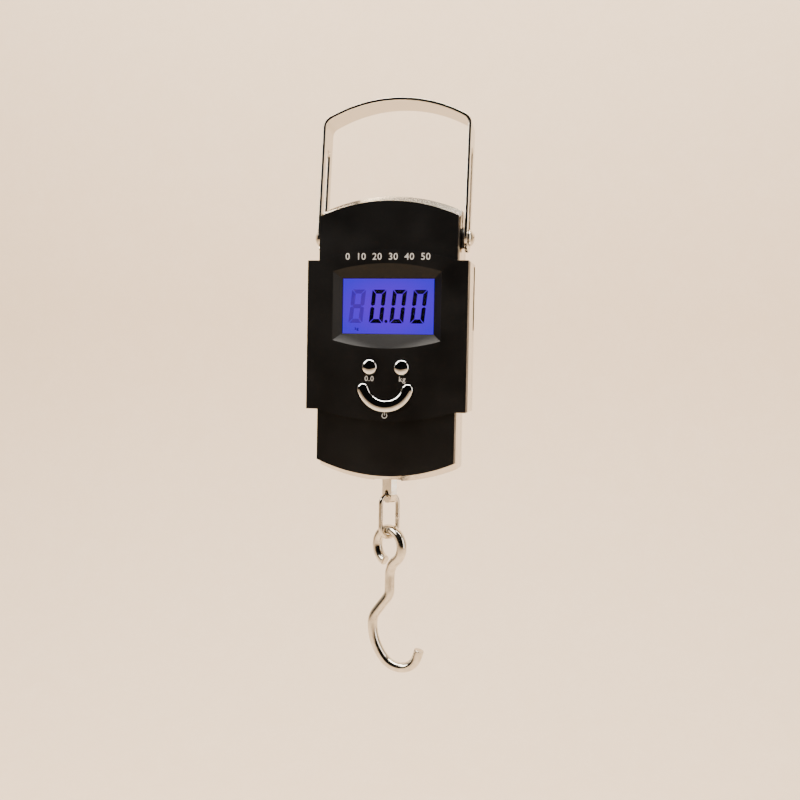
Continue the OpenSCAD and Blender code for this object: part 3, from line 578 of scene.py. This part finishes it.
HOOK_WIRE, HOOK_TOP = 4.2, -101.559
NECK_LENGTH, NECK_RADIUS, LOOP_RADIUS, LOOP_SWEEP, LOOP_ASIDE = 1.5, 8, 7, -306, 0.5
NECK_SWEEP = math.degrees(math.acos((NECK_RADIUS + LOOP_ASIDE) / (NECK_RADIUS + LOOP_RADIUS)))
BOW_PLANE, LOOP_PLANE = -8.0, -32.0
# The shank and the bow, down from the neck: (length,) or (radius, degrees).
BENDS = [(4.6,), (6, 36.8), (7.3,), (9, -36.5), (21.8, -41.3), (9.6, -58.2), (7.4, -63.6), (3.2,)]
bow = bent_path((0, HOOK_TOP), 180, BENDS)
loop = bent_path((0, HOOK_TOP), 0, [(NECK_LENGTH,), (NECK_RADIUS, NECK_SWEEP), (LOOP_RADIUS, LOOP_SWEEP)])
hang = polar((0, 0), 1, math.radians(LOOP_PLANE))
hook_path = on_plane(bow, BOW_PLANE, hang)[::-1] + on_plane(loop, LOOP_PLANE, hang)[1:]
hook_mesh = wire_mesh("hook", hook_path, HOOK_WIRE, nickel_wire, step=0.55, sides=32, ripple=0.012, chamfer=0.25)
show("hook_finished", hook_mesh, nickel_wire, "hook", "nickel_wire", "hook")

LINK_WIRE, LINK_HALF, LINK_TOP, LINK_BOTTOM, LINK_PLANE = 1.9, 3.95, -65.8, -84.0, 40.0
BEND_STEPS, SIDE_STEPS = 16, 12
upper, lower = LINK_TOP - LINK_HALF, LINK_BOTTOM + LINK_HALF
rung = (upper - lower) / SIDE_STEPS
oval = [polar((0, upper), LINK_HALF, math.pi * i / BEND_STEPS) for i in range(BEND_STEPS + 1)]
oval += [(-LINK_HALF, upper - i * rung) for i in range(1, SIDE_STEPS)]
oval += [polar((0, lower), LINK_HALF, math.pi + math.pi * i / BEND_STEPS) for i in range(BEND_STEPS + 1)]
oval += [(LINK_HALF, lower + i * rung) for i in range(1, SIDE_STEPS)]
link_path = on_plane(oval, LINK_PLANE)
link_mesh = wire_mesh("link", link_path, LINK_WIRE, nickel_wire, step=0.4, sides=24, ripple=0.01, closed=True)
show("link_finished", link_mesh, nickel_wire, "link", "nickel_wire", "link")


def weld_mesh(name, x, z_low, z_high, radius, seed):
    """The lumpy butt weld that closes the link: rings whose radius wanders."""
    draw = random.Random(seed)
    rings, sides = 18, 28
    points, faces = [], []
    for i in range(rings + 1):
        t = i / rings
        z = z_low + (z_high - z_low) * t
        swell = math.sin(math.pi * t) ** 0.6
        for k in range(sides):
            a = 2 * math.pi * k / sides
            r = radius * (0.95 + swell * (0.05 + 0.13 * draw.random() * abs(math.sin(2.5 * a + 9 * t))))
            points.append((x + r * math.cos(a), r * math.sin(a), z))
    for i in range(rings):
        for k in range(sides):
            low, high, after = i * sides, (i + 1) * sides, (k + 1) % sides
            faces.append((low + k, low + after, high + after, high + k))
    faces += [tuple(range(sides)), tuple(rings * sides + k for k in range(sides))]
    plane = Matrix.Rotation(math.radians(LINK_PLANE), 3, "Z")
    mesh = from_faces(name, [at(*(plane @ Vector(point) + Vector((0, PIVOT.y, 0)))) for point in points], faces)
    smooth(mesh, SOFT_CREASE)
    return mesh


WELD_LOW, WELD_HIGH, WELD_SEED = -77.2, -73.6, 7
weld = weld_mesh("link_weld", LINK_HALF, WELD_LOW, WELD_HIGH, LINK_WIRE / 2, WELD_SEED)
show("link_weld", weld, nickel_wire, "link", "nickel_wire")

# ---- inside the case: each node keeps its shape and gets its real finish ----
INSIDE = {
    "cross_bracket": zinc_steel,
    "load_cell": beam_aluminium,
    "strain_gauges": gauge_resin,
    "load_cell_screws": zinc_steel,
    "rod_yoke": zinc_steel,
    "lcd_panel": display_light,
    "lcd_backlight": light_guide,
    "zebra_strip": black_rubber,
    "main_board": board_green,
    "board_screws": zinc_steel,
    "controller_chip": chip_resin,
    "tact_switches": black_nylon,
    "left_battery": battery_sleeve,
    "right_battery": battery_sleeve,
    "battery_springs": spring_wire,
    "battery_contacts": spring_wire,
    "load_cell_lead": lead_white,
    "battery_leads": lead_red,
}
for node, material in INSIDE.items():
    for spot in NODES[node].material_slots:
        spot.material = material

# ---- stage and light ----
backdrop_paper = moulded("warm_paper", "e8d3b8", "ebd7be", 0.9, 4.0, 0.01)
FLOOR_Z, FLOOR_EDGE, WALL_Y, WALL_TOP, SWEEP_R, HALF_SPAN = -0.42, -2.6, 0.55, 1.8, 0.35, 3.5
foot = (WALL_Y - SWEEP_R, FLOOR_Z + SWEEP_R)
profile = [(FLOOR_EDGE, FLOOR_Z), (WALL_Y - SWEEP_R, FLOOR_Z)]
profile += [polar(foot, SWEEP_R, math.radians(a - 90)) for a in range(10, 91, 10)]
profile.append((WALL_Y, WALL_TOP))
sheet = bpy.data.meshes.new("backdrop")
sheet.from_pydata(
    [(side * HALF_SPAN, y, z) for y, z in profile for side in (-1, 1)],
    [],
    [(2 * i, 2 * i + 1, 2 * i + 3, 2 * i + 2) for i in range(len(profile) - 1)],
)
smooth(sheet, SOFT_CREASE)
sheet.materials.append(backdrop_paper)
backdrop = placed_in_scene("backdrop", sheet)


def soft_light(name, place, target, size, power, colour):
    """A rectangular soft box, its place and size in metres, that faces a point."""
    data = bpy.data.lights.new(name, "AREA")
    data.shape, data.size, data.size_y = "RECTANGLE", *size
    data.energy, data.color = power, rgb(colour)[:3]
    facing = (Vector(target) - Vector(place)).to_track_quat("-Z", "Y").to_matrix().to_4x4()
    placed_in_scene(name, data).matrix_world = Matrix.Translation(place) @ facing


MIDDLE = at(0, 0, -20)
soft_light("key_box", (-0.75, -0.55, 0.55), MIDDLE, (0.5, 0.7), 12, "fff6ea")
soft_light("fill_box", (0.9, -0.35, 0.1), MIDDLE, (0.5, 0.9), 5, "fff2e4")
soft_light("top_box", (0.1, -0.25, 0.9), MIDDLE, (0.7, 0.35), 6, "ffffff")
soft_light("backdrop_box", (0.0, -0.2, 1.1), (0, WALL_Y, -0.1), (1.6, 0.5), 48, "fff4e6")

world = bpy.data.worlds.new("studio")
bpy.context.scene.world = world
world.use_nodes = True
sky = world.node_tree
sky.nodes.clear()
# A reflected ray finds a dark room in front of the scale and a pale one behind it; the camera sees the pale one.
DARK_ROOM, PALE_ROOM, ROOM_STRENGTH, SEEN_STRENGTH = "131211", "ead9c4", 0.78, 0.95
way = add(sky, "ShaderNodeTexCoord")
parts = add(sky, "ShaderNodeSeparateXYZ", {0: way.outputs["Generated"]})
room = blend(sky, ranged(sky, parts.outputs["Y"], -0.55, 0.05), DARK_ROOM, PALE_ROOM)
light = add(sky, "ShaderNodeBackground", {"Color": room, "Strength": ROOM_STRENGTH})
pale = add(sky, "ShaderNodeBackground", {"Color": rgb(PALE_ROOM), "Strength": SEEN_STRENGTH})
ray = add(sky, "ShaderNodeLightPath")
seen = add(sky, "ShaderNodeMixShader", {0: ray.outputs["Is Camera Ray"], 1: light.outputs[0], 2: pale.outputs[0]})
add(sky, "ShaderNodeOutputWorld", {"Surface": seen.outputs[0]})
